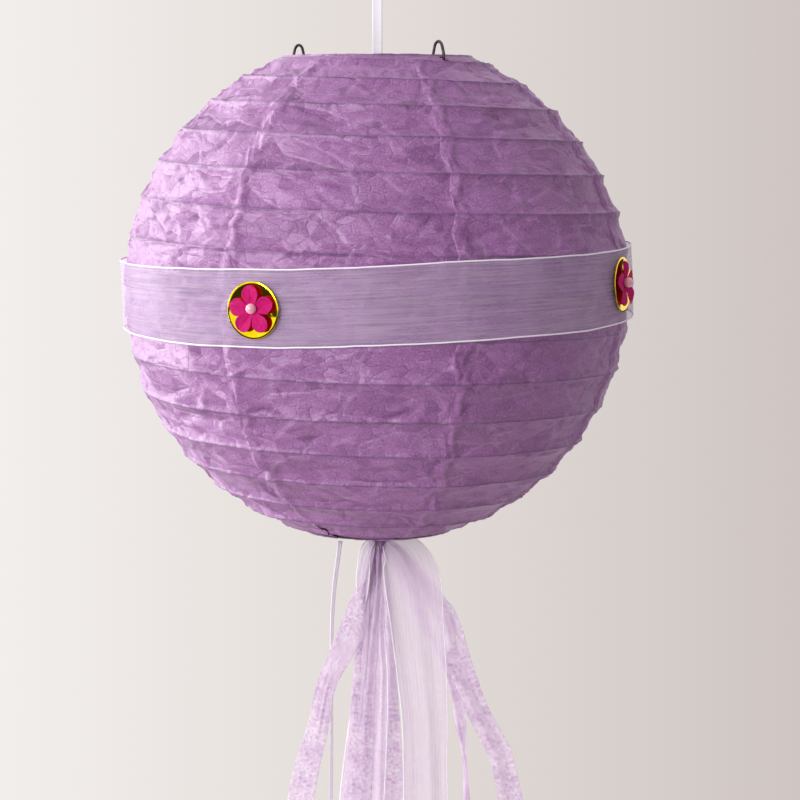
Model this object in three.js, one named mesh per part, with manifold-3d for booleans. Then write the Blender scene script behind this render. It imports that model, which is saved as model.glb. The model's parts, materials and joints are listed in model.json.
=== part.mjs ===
// Hanging paper lantern, about 300 mm across: paper gores over one spiral rib, held open by a bent wire
// expander, hung from a ribbon, with a sheer ribbon band, flower trims and a streamer tail.
// Millimetres, +Z up. The origin is where a hook bears inside the hanging loop.
import * as THREE from 'three';
import { mergeVertices } from 'three/addons/utils/BufferGeometryUtils.js';
import Module from 'manifold-3d';

const wasm = await Module();
wasm.setup();

// ---- driving dimensions ----
const GAP = 0.3;                    // left between neighbouring solids
const LANTERN_RADIUS = 150;         // paper's outer surface, before the next two factors
const BULGE = 1.014;                // the ball is held a little wider than it is tall
const LOWER_STRETCH = 1.012;        // and its lower half hangs a little longer
const PAPER = 0.5;                  // paper and glue, thicker than the real sheet
const RING_HEIGHT = 138.8;          // top ring's plane above the lantern's centre
const RING_RADIUS = 56.5;
const BOTTOM_RADIUS = 45;           // the bottom ring is the smaller one
const RING_WIRE = 0.9;              // wire radii
const EXPANDER_WIRE = 0.9;
const RIM_DROP = 76.7;               // hook point down to the top ring
const GORES = 7;
const SEAM_AZIMUTH = -33 - 90;      // first seam, 0 is +X and -90 is the front
const FACETS_PER_GORE = 6;
const BAND_WIDTH = 40;              // sheer ribbon with its corded edges
const BAND_RADIUS = LANTERN_RADIUS * BULGE + 1.2;  // inner face
const BAND_THICKNESS = 0.6;
const BAND_TILT = 2.3;              // degrees, right side up
const BAND_LIFT = 1.5;              // above the lantern's centre
const CORD_RADIUS = 0.65;           // band's edge cords
const RIB_RADIUS = 0.8;
const RIB_PITCH = 9;                // degrees of latitude for each turn
const RIB_PHASE = 58.6;             // latitude where a turn passes azimuth 180
const RIB_END = 66;                 // last latitude, north and south
const TRIM_AZIMUTHS = [-25.6, 67.5, 155, 245];  // from the front, positive to the right
const DISC_RADIUS = 16;
const DISC_THICKNESS = 1;
const FLOWER_RADIUS = 13.2;
const FLOWER_THICKNESS = 2.2;
const PEARL_RADIUS = 2.8;
const RIBBON_WIDTH = 6;             // hanging ribbon
const LOOP_DROP = 26;               // hook point down to the loop's knot
const KNOT_HEIGHT = 6;
const TOP_LEFT = 147.7;             // azimuths of the expander's ears
const TOP_RIGHT = -51.1;
const BOTTOM_LEFT = 170;            // and of its feet
const BOTTOM_RIGHT = -10;
const HUMP_HEIGHT = 131;            // middle of the expander's top bar, above the centre
const BAR_DROP = 150.5;             // middle of its bottom bar, below the centre
const BAR_HALF = 28.5;
const BAR_SLOPE = 2.6;              // degrees, right end up

const CENTRE_Z = -RIM_DROP - RING_HEIGHT;
const RING_LATITUDE = toDegrees(Math.atan2(RING_HEIGHT, RING_RADIUS / BULGE));
const BOTTOM_LATITUDE = -toDegrees(Math.acos(BOTTOM_RADIUS / BULGE / LANTERN_RADIUS));
const BOTTOM_HEIGHT = -ballOutline(LANTERN_RADIUS, BOTTOM_LATITUDE).y;

function toDegrees(radians) {
  return radians * 180 / Math.PI;
}

function toRadians(degrees) {
  return degrees * Math.PI / 180;
}

// ---- materials ----
const paint = (color, roughness, metalness = 0) => new THREE.MeshStandardMaterial({
  color, roughness, metalness,
});
const PAPER_PURPLE = paint(0x8f5a9c, 0.8);
const WIRE_DARK = paint(0x3a3338, 0.4, 1);
const RIB_PALE = paint(0xcdb6a2, 0.7);
const ORGANZA = paint(0xc6b6d2, 0.5);
const CORD_WHITE = paint(0xf2eff5, 0.6);
const RIBBON_WHITE = paint(0xeeeaf4, 0.5);
const TISSUE = paint(0xcfa6dc, 0.8);
const GOLD = paint(0xf0b81a, 0.1, 1);
const MAGENTA = paint(0xd0106c, 0.7);
const PEARL = paint(0xf1bcc8, 0.2);

// ---- curves ----

// A run of straight pieces through hand-placed points, stepped point by point.
class Route extends THREE.Curve {
  constructor(points) {
    super();
    this.points = points;
  }

  getPoint(t, target = new THREE.Vector3()) {
    const along = t * (this.points.length - 1);
    const index = Math.min(Math.floor(along), this.points.length - 2);
    return target.lerpVectors(this.points[index], this.points[index + 1], along - index);
  }

  getUtoTmapping(u) {
    return u;
  }
}

// One rib that winds down the ball from its north end to its south end.
class RibSpiral extends THREE.Curve {
  constructor(radius) {
    super();
    this.radius = radius;
  }

  getPoint(t, target = new THREE.Vector3()) {
    const latitude = RIB_END * (1 - 2 * t);
    const azimuth = 180 + 360 * (RIB_PHASE - latitude) / RIB_PITCH;
    const { x, y } = ballOutline(this.radius, latitude);
    return target.copy(cylindrical(x, azimuth, y));
  }

  getUtoTmapping(u) {
    return u;
  }
}

// The ball's outline at a latitude in degrees: x is the distance from the axis, y the height.
function ballOutline(radius, latitude) {
  const stretch = latitude < 0 ? LOWER_STRETCH : 1;
  const angle = toRadians(latitude);
  return new THREE.Vector2(BULGE * radius * Math.cos(angle), stretch * radius * Math.sin(angle));
}

function cylindrical(radius, azimuth, height, aside = 0) {
  const angle = toRadians(azimuth);
  return new THREE.Vector3(
    radius * Math.cos(angle) - aside * Math.sin(angle),
    radius * Math.sin(angle) + aside * Math.cos(angle),
    height,
  );
}

// Replaces each inner corner of a route by three points of a bend.
function rounded(corners, cut) {
  const points = [corners[0]];
  for (let i = 1; i < corners.length - 1; i += 1) {
    const before = corners[i - 1];
    const corner = corners[i];
    const after = corners[i + 1];
    const back = Math.min(cut, before.distanceTo(corner) * 0.45);
    const ahead = Math.min(cut, after.distanceTo(corner) * 0.45);
    const start = corner.clone().lerp(before, back / before.distanceTo(corner));
    const end = corner.clone().lerp(after, ahead / after.distanceTo(corner));
    const middle = start.clone().add(end).multiplyScalar(0.25).addScaledVector(corner, 0.5);
    points.push(start, middle, end);
  }
  points.push(corners[corners.length - 1]);
  return points;
}

function polygon(radiusX, radiusY, sides) {
  const shape = new THREE.Shape();
  for (let i = 0; i < sides; i += 1) {
    const angle = 2 * Math.PI * i / sides;
    const x = radiusX * Math.cos(angle);
    const y = radiusY * Math.sin(angle);
    if (i === 0) shape.moveTo(x, y);
    else shape.lineTo(x, y);
  }
  shape.closePath();
  return shape;
}

function sweep(curve, section, steps) {
  return new THREE.ExtrudeGeometry(section, { steps, bevelEnabled: false, extrudePath: curve });
}

function wire(points, radius, sides = 8) {
  return sweep(new Route(points), polygon(radius, radius, sides), points.length - 1);
}

// ---- solids for cutting ----
function toSolid(geometry) {
  const plain = geometry.clone();
  plain.deleteAttribute('normal');
  plain.deleteAttribute('uv');
  const merged = mergeVertices(plain, 1e-4);
  const vertProperties = new Float32Array(merged.attributes.position.array);
  const triVerts = new Uint32Array(merged.index.array);
  return new wasm.Manifold(new wasm.Mesh({ numProp: 3, vertProperties, triVerts }));
}

function toGeometry(solid) {
  const cut = solid.getMesh();
  const geometry = new THREE.BufferGeometry();
  geometry.setAttribute('position', new THREE.BufferAttribute(cut.vertProperties, 3));
  geometry.setIndex(new THREE.BufferAttribute(cut.triVerts, 1));
  return geometry;
}

// ---- pieces ----
const lantern = new THREE.Group();
const body = new THREE.Group();     // everything placed from the lantern's centre
body.position.z = CENTRE_Z;
lantern.add(body);

function add(parent, name, geometry, material) {
  const mesh = new THREE.Mesh(geometry, material);
  mesh.name = name;
  parent.add(mesh);
  return mesh;
}

// Paper: a ball open at both rings, cut into gores along its seams.
function paperShell() {
  const trim = toDegrees((RING_WIRE + 2 * GAP) / LANTERN_RADIUS);
  const ends = [BOTTOM_LATITUDE + trim, RING_LATITUDE - trim];
  const bands = 18;
  const profile = [];
  for (const radius of [LANTERN_RADIUS, LANTERN_RADIUS - PAPER]) {
    for (let i = 0; i <= bands; i += 1) {
      profile.push(ballOutline(radius, ends[0] + (ends[1] - ends[0]) * i / bands));
    }
    ends.reverse();
  }
  profile.push(profile[0].clone());
  return new THREE.LatheGeometry(profile, GORES * FACETS_PER_GORE).rotateX(Math.PI / 2);
}

function goreWedge(index) {
  const turn = 360 / GORES;
  const trim = toDegrees(GAP / LANTERN_RADIUS);
  const from = SEAM_AZIMUTH + index * turn + trim;
  const reach = 2 * LANTERN_RADIUS;
  const sector = new THREE.Shape();
  sector.moveTo(0, 0);
  for (const azimuth of [from, from + turn - 2 * trim]) {
    sector.lineTo(reach * Math.cos(toRadians(azimuth)), reach * Math.sin(toRadians(azimuth)));
  }
  sector.closePath();
  const wedge = new THREE.ExtrudeGeometry(sector, { depth: reach, bevelEnabled: false });
  return wedge.translate(0, 0, -reach / 2);
}

// The notch in the paper where an ear's outer leg passes through.
function earNotch(azimuth) {
  const notch = new THREE.BoxGeometry(7.4, 4.4, 8).translate(RING_RADIUS + 3.2, 1.4, RING_HEIGHT);
  return notch.rotateZ(toRadians(azimuth));
}

function addGores() {
  let shell = toSolid(paperShell());
  for (const azimuth of [TOP_LEFT, TOP_RIGHT]) {
    shell = shell.subtract(toSolid(earNotch(azimuth)));
  }
  for (let i = 0; i < GORES; i += 1) {
    const gore = shell.intersect(toSolid(goreWedge(i)));
    add(body, `paper_gore_${i + 1}`, toGeometry(gore), PAPER_PURPLE);
  }
}

function addRib() {
  const facet = Math.cos(Math.PI / (GORES * FACETS_PER_GORE));
  const radius = (LANTERN_RADIUS - PAPER) * facet - 2 * GAP - RIB_RADIUS;
  const stepsPerTurn = 26;
  const steps = Math.round(stepsPerTurn * 2 * RIB_END / RIB_PITCH);
  const rib = sweep(new RibSpiral(radius), polygon(RIB_RADIUS, RIB_RADIUS, 5), steps);
  add(body, 'rib_spiral', rib, RIB_PALE);
}

function addRings() {
  const ring = new THREE.TorusGeometry(RING_RADIUS, RING_WIRE, 6, 48);
  add(body, 'top_ring', ring, WIRE_DARK).position.z = RING_HEIGHT;
  const bottom = new THREE.TorusGeometry(BOTTOM_RADIUS, RING_WIRE, 6, 48);
  add(body, 'bottom_ring', bottom, WIRE_DARK).position.z = -BOTTOM_HEIGHT;
}

// The expander: one wire from the middle of the bottom bar, up a leg, over the top ring in an ear,
// across the top bar with its hump, and down the other side.
function expanderSide(top, bottom, side) {
  const barEnd = barPoint(side * BAR_HALF);
  const legTop = 128;
  const legReach = BOTTOM_RADIUS - 2.8;   // inside the bottom ring all the way as it rises
  const foot = [
    barPoint(side * GAP),
    barEnd,
    cylindrical(BOTTOM_RADIUS - 8, bottom, -BOTTOM_HEIGHT - 1.6),
    cylindrical(BOTTOM_RADIUS - 2.4, bottom, -BOTTOM_HEIGHT + 2.6),
    cylindrical(BOTTOM_RADIUS - 4, bottom, -BOTTOM_HEIGHT + 9),
  ];
  const ear = [
    cylindrical(legReach, top, legTop, -1.5),
    cylindrical(RING_RADIUS - 2.6, top, RING_HEIGHT - 3, -1.5),
    cylindrical(RING_RADIUS - 2.2, top, RING_HEIGHT + 2, -1.5),
    cylindrical(RING_RADIUS - 1.2, top, RING_HEIGHT + 7.6, -0.8),
    cylindrical(RING_RADIUS + 0.7, top, RING_HEIGHT + 9, 0),
    cylindrical(RING_RADIUS + 2.6, top, RING_HEIGHT + 7.4, 0.8),
    cylindrical(RING_RADIUS + 4, top, RING_HEIGHT + 0.6, 1.5),
    cylindrical(RING_RADIUS + 3.2, top, RING_HEIGHT - 3.4, 1.7),
    cylindrical(RING_RADIUS - 6, top, RING_HEIGHT - 5, 1.7),
  ];
  const bar = [
    cylindrical(36, top, RING_HEIGHT - 9, 1.2),
    cylindrical(8, top, HUMP_HEIGHT - 4.5),
  ];
  return [...foot, ...ear, ...bar];
}

function barPoint(along) {
  const level = along * Math.cos(toRadians(BAR_SLOPE));
  return cylindrical(level, BOTTOM_RIGHT, -BAR_DROP + along * Math.sin(toRadians(BAR_SLOPE)));
}

function humpAzimuth() {
  const left = cylindrical(RING_RADIUS, TOP_LEFT, 0);
  const right = cylindrical(RING_RADIUS, TOP_RIGHT, 0);
  return toDegrees(Math.atan2(right.y - left.y, right.x - left.x));
}

function addExpander() {
  const azimuth = humpAzimuth();
  const hump = [-4, -3, 3, 4].map((along) => {
    const height = Math.abs(along) > 3 ? HUMP_HEIGHT - 3.5 : HUMP_HEIGHT;
    return cylindrical(along, azimuth, height);
  });
  const left = expanderSide(TOP_LEFT, BOTTOM_LEFT, -1);
  const right = expanderSide(TOP_RIGHT, BOTTOM_RIGHT, 1).reverse();
  const points = rounded([...left, ...hump, ...right], 1.6);
  add(body, 'expander_wire', wire(points, EXPANDER_WIRE), WIRE_DARK);
}

// The band hugs the equator, leaning a little.
const band = new THREE.Group();
band.position.z = BAND_LIFT;
band.rotation.y = -toRadians(BAND_TILT);
body.add(band);

function addBand() {
  const half = BAND_WIDTH / 2 - 2 * CORD_RADIUS - GAP;
  const outer = BAND_RADIUS + BAND_THICKNESS;
  const corners = [[BAND_RADIUS, -half], [outer, -half], [outer, half], [BAND_RADIUS, half]];
  const profile = [...corners, corners[0]].map(([x, y]) => new THREE.Vector2(x, y));
  const facets = GORES * FACETS_PER_GORE;
  add(band, 'organza_band', new THREE.LatheGeometry(profile, facets).rotateX(Math.PI / 2), ORGANZA);
  const edge = new THREE.TorusGeometry(BAND_RADIUS + CORD_RADIUS, CORD_RADIUS, 5, facets);
  const height = BAND_WIDTH / 2 - CORD_RADIUS;
  add(band, 'band_edge_top', edge, CORD_WHITE).position.z = height;
  add(band, 'band_edge_bottom', edge.clone(), CORD_WHITE).position.z = -height;
}

// Five round petals about a small middle, in the XY plane.
function flowerShape() {
  const petals = 5;
  const notch = FLOWER_RADIUS * 0.42;
  const shape = new THREE.Shape();
  const at = (radius, angle) => [radius * Math.cos(angle), radius * Math.sin(angle)];
  shape.moveTo(...at(notch, -Math.PI / petals));
  for (let i = 0; i < petals; i += 1) {
    const middle = 2 * Math.PI * i / petals;
    const half = Math.PI / petals;
    shape.bezierCurveTo(
      ...at(FLOWER_RADIUS * 0.95, middle - half * 1.15),
      ...at(FLOWER_RADIUS * 1.08, middle - half * 0.45),
      ...at(FLOWER_RADIUS, middle),
    );
    shape.bezierCurveTo(
      ...at(FLOWER_RADIUS * 1.08, middle + half * 0.45),
      ...at(FLOWER_RADIUS * 0.95, middle + half * 1.15),
      ...at(notch, middle + half),
    );
  }
  return shape;
}

// Each trim is built facing +X with its middle on the X axis, then turned to its azimuth.
function addTrims() {
  const back = BAND_RADIUS + BAND_THICKNESS + GAP;
  const flowerBack = back + DISC_THICKNESS + GAP;
  const pearlMiddle = flowerBack + FLOWER_THICKNESS + GAP + PEARL_RADIUS;
  TRIM_AZIMUTHS.forEach((fromFront, i) => {
    const turn = new THREE.Group();
    turn.rotation.z = toRadians(fromFront - 90);
    band.add(turn);
    const disc = new THREE.CylinderGeometry(DISC_RADIUS, DISC_RADIUS, DISC_THICKNESS, 28);
    disc.rotateZ(Math.PI / 2).translate(back + DISC_THICKNESS / 2, 0, 0);
    add(turn, `gold_disc_${i + 1}`, disc, GOLD);
    const flower = new THREE.ExtrudeGeometry(flowerShape(), {
      depth: FLOWER_THICKNESS, bevelEnabled: false, curveSegments: 4,
    });
    flower.rotateZ(Math.PI / 2).rotateX(Math.PI / 2).rotateZ(Math.PI / 2);
    flower.translate(flowerBack, 0, 0);
    add(turn, `flower_${i + 1}`, flower, MAGENTA);
    const pearl = new THREE.SphereGeometry(PEARL_RADIUS, 10, 7).translate(pearlMiddle, 0, 0);
    add(turn, `pearl_${i + 1}`, pearl, PEARL);
  });
}

// ---- hanging ribbon: loop, knot, straight run, and the knot and loop round the hump ----
const LOOP_HALF = 6;
const LOOP_THICKNESS = 0.8;
const TIE_RADIUS = 2.1;
const TIE_TUBE = 0.7;
const TIE_KNOT = 2.6;

// A teardrop that closes to a point at the knot.
function loopOutline(half, top, bottom) {
  const waist = top + 0.72 * (bottom - top);
  const path = new THREE.Path();
  path.moveTo(0, bottom);
  path.bezierCurveTo(half * 0.9, waist, half * 1.5, top, 0, top);
  path.bezierCurveTo(-half * 1.5, top, -half * 0.9, waist, 0, bottom);
  return path.getPoints(10);
}

function addHanger() {
  const outer = loopOutline(LOOP_HALF + LOOP_THICKNESS, LOOP_THICKNESS, -LOOP_DROP);
  const inner = loopOutline(LOOP_HALF, 0, 2 * LOOP_THICKNESS - LOOP_DROP);
  const outline = new THREE.Shape(outer);
  outline.holes.push(new THREE.Path(inner));
  const loop = new THREE.ExtrudeGeometry(outline, { depth: RIBBON_WIDTH, bevelEnabled: false });
  loop.translate(0, 0, -RIBBON_WIDTH / 2).rotateX(Math.PI / 2).rotateZ(Math.PI / 2);
  add(lantern, 'hanging_loop', loop, RIBBON_WHITE);

  const knotTop = -LOOP_DROP - GAP;
  const knot = new THREE.CylinderGeometry(3.4, 3.4, KNOT_HEIGHT, 10).rotateX(Math.PI / 2);
  knot.translate(0, 0, knotTop - KNOT_HEIGHT / 2);
  add(lantern, 'loop_knot', knot, RIBBON_WHITE);

  const hump = CENTRE_Z + HUMP_HEIGHT;
  const tieKnotZ = hump + TIE_RADIUS + TIE_TUBE + GAP + TIE_KNOT;
  const from = knotTop - KNOT_HEIGHT - GAP;
  const to = tieKnotZ + TIE_KNOT + GAP;
  const ends = [new THREE.Vector3(0, 0, from), new THREE.Vector3(0, 0, to)];
  const run = sweep(new THREE.LineCurve3(...ends), polygon(0.5, RIBBON_WIDTH / 2, 8), 3);
  add(lantern, 'hanging_ribbon', run, RIBBON_WHITE);

  const tieKnot = new THREE.SphereGeometry(TIE_KNOT, 10, 7).translate(0, 0, tieKnotZ);
  add(lantern, 'tie_knot', tieKnot, RIBBON_WHITE);
  const tieLoop = new THREE.TorusGeometry(TIE_RADIUS, TIE_TUBE, 6, 16).rotateY(Math.PI / 2);
  tieLoop.rotateZ(toRadians(humpAzimuth())).translate(0, 0, hump);
  add(lantern, 'tie_loop', tieLoop, RIBBON_WHITE);
}

// ---- tail ----

// Streamers: each is a strip about a line of [x, z, half width] points, hung in its own layer and
// drifting front or back towards its end. z is measured down from the bottom bar.
const STREAMERS = [
  { name: 'organza_loop', layer: -9.7, drift: -6, material: ORGANZA, line: [
    [-4, -4, 2], [-10, -14, 5.5], [-12, -28, 6], [-12, -42, 3]] },
  { name: 'organza_streamer_2', layer: -8.3, drift: -38, material: ORGANZA, line: [
    [6, -4, 5], [16, -13, 14], [21, -27, 17], [24, -54, 16], [29, -114, 13.5], [29.5, -154, 13],
    [32, -250, 15], [36, -345, 16]] },
  { name: 'tissue_streamer_1', layer: -6.9, drift: -30, material: TISSUE, line: [
    [-2, -4, 2.5], [-5.6, -26, 5.5], [-12.8, -50, 8.5], [-28.4, -83, 6.5], [-37, -118, 6.5],
    [-46, -154, 8], [-60, -250, 9], [-66, -340, 9]] },
  { name: 'tissue_streamer_2', layer: -5.5, drift: -16, material: TISSUE, line: [
    [-1, -4, 2.5], [-2, -30, 5], [-5.6, -60, 6.5], [-8.5, -89, 7], [-12, -154, 8.5],
    [-18, -260, 9], [-20, -370, 9]] },
  { name: 'organza_streamer_1', layer: -4.1, drift: -5, material: ORGANZA, line: [
    [-2, -4, 3], [-6, -30, 6], [-9, -62, 9], [-13, -100, 11], [-16, -155, 13.5], [-22, -250, 16],
    [-26, -350, 16]] },
  { name: 'tissue_streamer_3', layer: 4.1, drift: 8, material: TISSUE, line: [
    [1, -4, 2.5], [3, -44, 5.5], [4, -89, 7.5], [6, -154, 9.5], [9, -260, 10], [10, -385, 10]] },
  { name: 'tissue_streamer_4', layer: 5.5, drift: 24, material: TISSUE, line: [
    [3, -4, 2.5], [22, -42, 4.5], [38, -76, 4], [43, -90, 3.5], [49, -108, 4.5], [54, -142, 3.5],
    [60, -250, 6], [66, -350, 7]] },
  { name: 'tissue_streamer_5', layer: 6.9, drift: 34, material: TISSUE, line: [
    [4, -4, 2.5], [24, -24, 6], [43, -43, 6.5], [47.5, -60, 7], [50, -83, 8], [61, -113, 7.5],
    [73.6, -139, 7.5], [79, -154, 7.5], [98, -250, 8], [108, -330, 8]] },
];
const STREAMER_THICKNESS = 1;

function strip({ layer, drift, line }) {
  const left = line.map(([x, z, half]) => new THREE.Vector2(x - half, z));
  const right = line.map(([x, z, half]) => new THREE.Vector2(x + half, z)).reverse();
  const depth = STREAMER_THICKNESS;
  const outline = new THREE.Shape([...left, ...right]);
  const geometry = new THREE.ExtrudeGeometry(outline, { depth, bevelEnabled: false });
  geometry.translate(0, 0, -depth / 2).rotateX(Math.PI / 2).translate(0, layer, 0);
  const end = line[line.length - 1][1];
  const position = geometry.attributes.position;
  for (let i = 0; i < position.count; i += 1) {
    const share = position.getZ(i) / end;
    position.setY(i, position.getY(i) + drift * share);
  }
  return geometry;
}

// The thin ribbon's route, from the bottom bar down, relative to the lantern's centre.
const THIN_RIBBON = [
  [-23.2, 4.1, -155.2], [-24.6, 3.4, -166], [-26.2, 2.4, -178], [-27.4, 1.2, -190],
  [-28.2, 0, -204], [-28.6, -1, -220], [-28.8, -1.6, -240], [-28.8, -2, -262],
  [-28.9, -2, -286], [-29.2, -1.6, -312], [-29.8, -0.8, -340], [-30.6, 0.2, -370],
  [-31.2, 1.4, -400], [-31.4, 2.6, -430], [-31, 3.6, -460], [-30.2, 4.2, -490],
];
const THIN_WIDTH = 3;
const KNOT_HALF = [5, 3, 4];

function addTail() {
  const barAngle = toRadians(BOTTOM_RIGHT);
  const ringOnBar = (along) => {
    const ring = new THREE.TorusGeometry(TIE_RADIUS, TIE_TUBE, 6, 16).rotateY(Math.PI / 2);
    ring.rotateY(-toRadians(BAR_SLOPE)).rotateZ(barAngle);
    return ring.translate(...barPoint(along).toArray());
  };
  add(body, 'tail_tie', ringOnBar(0), TISSUE);
  add(body, 'thin_ribbon_tie', ringOnBar(-23), RIBBON_WHITE);

  const knotZ = -BAR_DROP - TIE_RADIUS - TIE_TUBE - 2 * GAP - KNOT_HALF[2];
  const knot = new THREE.SphereGeometry(1, 12, 8).scale(...KNOT_HALF).translate(0, 0, knotZ);
  add(body, 'tail_knot', knot, TISSUE);

  for (const streamer of STREAMERS) {
    const piece = strip(streamer).translate(0, 0, -BAR_DROP);
    add(body, streamer.name, piece, streamer.material);
  }

  const route = THIN_RIBBON.map((point) => new THREE.Vector3(...point));
  const section = polygon(0.4, THIN_WIDTH / 2, 8);
  add(body, 'thin_ribbon', sweep(new Route(route), section, route.length - 1), RIBBON_WHITE);
}

addGores();
addRib();
addRings();
addExpander();
addBand();
addTrims();
addHanger();
addTail();

export default lantern;
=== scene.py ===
"""Looks for the hanging paper lantern: creased paper over a spiral rib, an organza band with
flower trims, and a tail of tissue and organza streamers.

Metres, +Z up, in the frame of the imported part."""
import json
import math

import bpy
import numpy as np
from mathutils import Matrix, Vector


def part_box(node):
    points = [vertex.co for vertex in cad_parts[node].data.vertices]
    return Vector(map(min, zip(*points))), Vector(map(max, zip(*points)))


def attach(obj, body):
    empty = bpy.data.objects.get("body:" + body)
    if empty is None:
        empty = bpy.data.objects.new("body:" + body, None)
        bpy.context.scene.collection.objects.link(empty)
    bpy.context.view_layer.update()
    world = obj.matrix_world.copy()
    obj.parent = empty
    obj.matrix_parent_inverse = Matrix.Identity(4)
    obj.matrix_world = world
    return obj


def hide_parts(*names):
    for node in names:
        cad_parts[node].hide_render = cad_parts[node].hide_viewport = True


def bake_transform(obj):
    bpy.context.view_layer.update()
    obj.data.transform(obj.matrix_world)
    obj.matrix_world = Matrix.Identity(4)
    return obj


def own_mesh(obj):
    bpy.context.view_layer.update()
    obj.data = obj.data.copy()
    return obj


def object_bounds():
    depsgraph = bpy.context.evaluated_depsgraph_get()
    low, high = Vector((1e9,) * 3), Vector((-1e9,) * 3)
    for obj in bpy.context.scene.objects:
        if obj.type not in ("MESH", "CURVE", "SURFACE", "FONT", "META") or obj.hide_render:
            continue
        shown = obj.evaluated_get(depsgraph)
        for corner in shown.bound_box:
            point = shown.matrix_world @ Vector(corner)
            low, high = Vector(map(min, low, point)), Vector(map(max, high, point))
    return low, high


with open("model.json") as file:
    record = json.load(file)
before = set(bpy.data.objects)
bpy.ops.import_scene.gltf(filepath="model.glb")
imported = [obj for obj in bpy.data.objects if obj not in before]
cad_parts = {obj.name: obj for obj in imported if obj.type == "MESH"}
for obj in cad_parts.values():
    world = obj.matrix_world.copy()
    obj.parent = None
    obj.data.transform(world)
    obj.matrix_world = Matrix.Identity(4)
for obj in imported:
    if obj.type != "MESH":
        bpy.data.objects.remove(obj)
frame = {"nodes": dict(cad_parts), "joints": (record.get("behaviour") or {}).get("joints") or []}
cad_low, cad_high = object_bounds()

MM = 0.001

# ---- places and sizes read from the frame ----
def ring_place(node):
    """A hoop's height, its radius at the middle of its wire, and the wire's radius."""
    low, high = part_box(node)
    wire = (high.z - low.z) / 2
    return (low.z + high.z) / 2, (high.x - low.x) / 2 - wire, wire


TOP_Z, RING_RADIUS, RING_WIRE = ring_place("top_ring")
BOTTOM_Z, BOTTOM_RADIUS = ring_place("bottom_ring")[:2]
RING_HEIGHT = 138.8 * MM     # over the ball's centre
CENTRE_Z = TOP_Z - RING_HEIGHT
BOTTOM_HEIGHT = CENTRE_Z - BOTTOM_Z
JOINTS = {joint["name"]: joint for joint in frame["joints"]}
BAR = Vector(JOINTS["tail_swing"]["pos_m"])
BAR_AXIS = Vector(JOINTS["tail_swing"]["axis"]).normalized()
HUMP = Vector(JOINTS["lantern_swing"]["pos_m"])
HUMP_AXIS = Vector(JOINTS["lantern_swing"]["axis"]).normalized()

# ---- driving values of the looks ----
RADIUS = 150 * MM            # paper at the rib, before the next two factors
BULGE = 1.014                # the ball is held a little wider than it is tall
LOWER_STRETCH = 1.012        # its lower half hangs a little longer
GORES = 7
SEAM_AZIMUTH = -33           # degrees from the front, positive to the right
RIB_PITCH = 9                # degrees of latitude for each turn
RIB_PHASE = 58.6             # latitude where a turn passes the left side
DEGREE = math.radians(RADIUS)  # length of one degree on the ball
BAND_WIDTH = 41 * MM         # with its corded edges
BAND_RADIUS = RADIUS * BULGE + 1.5 * MM
BAND_TILT = 2.3              # degrees, up to the right
BAND_LIFT = 1.5 * MM
EAR_AZIMUTHS = (-51.1, 147.7)  # where the expander's ends rise through the top opening
TRIM_AZIMUTHS = (-25.6, 67.5, 155, 245)
RIBBON_WIDTH = 6 * MM
THIN_WIDTH = 3 * MM


# ---- camera ----
def make_camera():
    eye_height = CENTRE_Z + 105 * MM
    camera = bpy.data.cameras.new("camera")
    camera.lens = 106.3
    camera.sensor_width = 36
    thing = bpy.data.objects.new("camera", camera)
    thing.location = (13.6 * MM, -1.429, eye_height)
    thing.rotation_euler = (math.radians(90 - 6.88), 0, 0)
    bpy.context.collection.objects.link(thing)
    bpy.context.scene.camera = thing


make_camera()


# ---- mesh helpers ----
def make_object(name, vertices, faces, uv=None, smooth=True):
    mesh = bpy.data.meshes.new(name)
    mesh.from_pydata([tuple(v) for v in vertices], [], [tuple(f) for f in faces])
    if uv is not None:
        layer = mesh.uv_layers.new(name="flat")
        index = np.empty(len(mesh.loops), np.int32)
        mesh.loops.foreach_get("vertex_index", index)
        layer.data.foreach_set("uv", np.asarray(uv, np.float32)[index].ravel())
    if smooth:
        mesh.polygons.foreach_set("use_smooth", np.ones(len(mesh.polygons), bool))
    mesh.update()
    thing = bpy.data.objects.new(name, mesh)
    bpy.context.collection.objects.link(thing)
    return thing


def grid_normals(points):
    along = np.gradient(points, axis=0)
    across = np.gradient(points, axis=1)
    normal = np.cross(along, across)
    return normal / np.maximum(np.linalg.norm(normal, axis=2, keepdims=True), 1e-12)


def thick_sheet(name, points, thickness, uv, keep=None):
    """A closed sheet about a grid of points, rows by columns. keep is False at a hole."""
    rows, columns = points.shape[:2]
    normal = grid_normals(points)
    front = points + normal * thickness / 2
    back = points - normal * thickness / 2
    count = rows * columns
    vertices = np.concatenate([front.reshape(-1, 3), back.reshape(-1, 3)])
    index = np.arange(count).reshape(rows, columns)
    cells = np.stack([index[:-1, :-1], index[:-1, 1:], index[1:, 1:], index[1:, :-1]], axis=-1)
    if keep is None:
        keep = np.ones(cells.shape[:2], bool)
    quads = cells[keep][:, ::-1]
    faces = [quads, quads[:, ::-1] + count]
    padded = np.pad(keep, 1)
    inside = padded[1:-1, 1:-1]
    neighbours = ((padded[:-2, 1:-1], 0, 1), (padded[2:, 1:-1], 2, 3),
                  (padded[1:-1, :-2], 3, 0), (padded[1:-1, 2:], 1, 2))
    for beside, a, b in neighbours:
        edge = cells[inside & ~beside]
        wall = np.stack([edge[:, a], edge[:, b], edge[:, b] + count, edge[:, a] + count], axis=-1)
        faces.append(wall)
    flat = np.concatenate([uv.reshape(-1, 2)] * 2)
    used = np.unique(np.concatenate(faces))
    renumber = np.zeros(2 * count, np.int64)
    renumber[used] = np.arange(len(used))
    return make_object(name, vertices[used], renumber[np.concatenate(faces)], flat[used])


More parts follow.
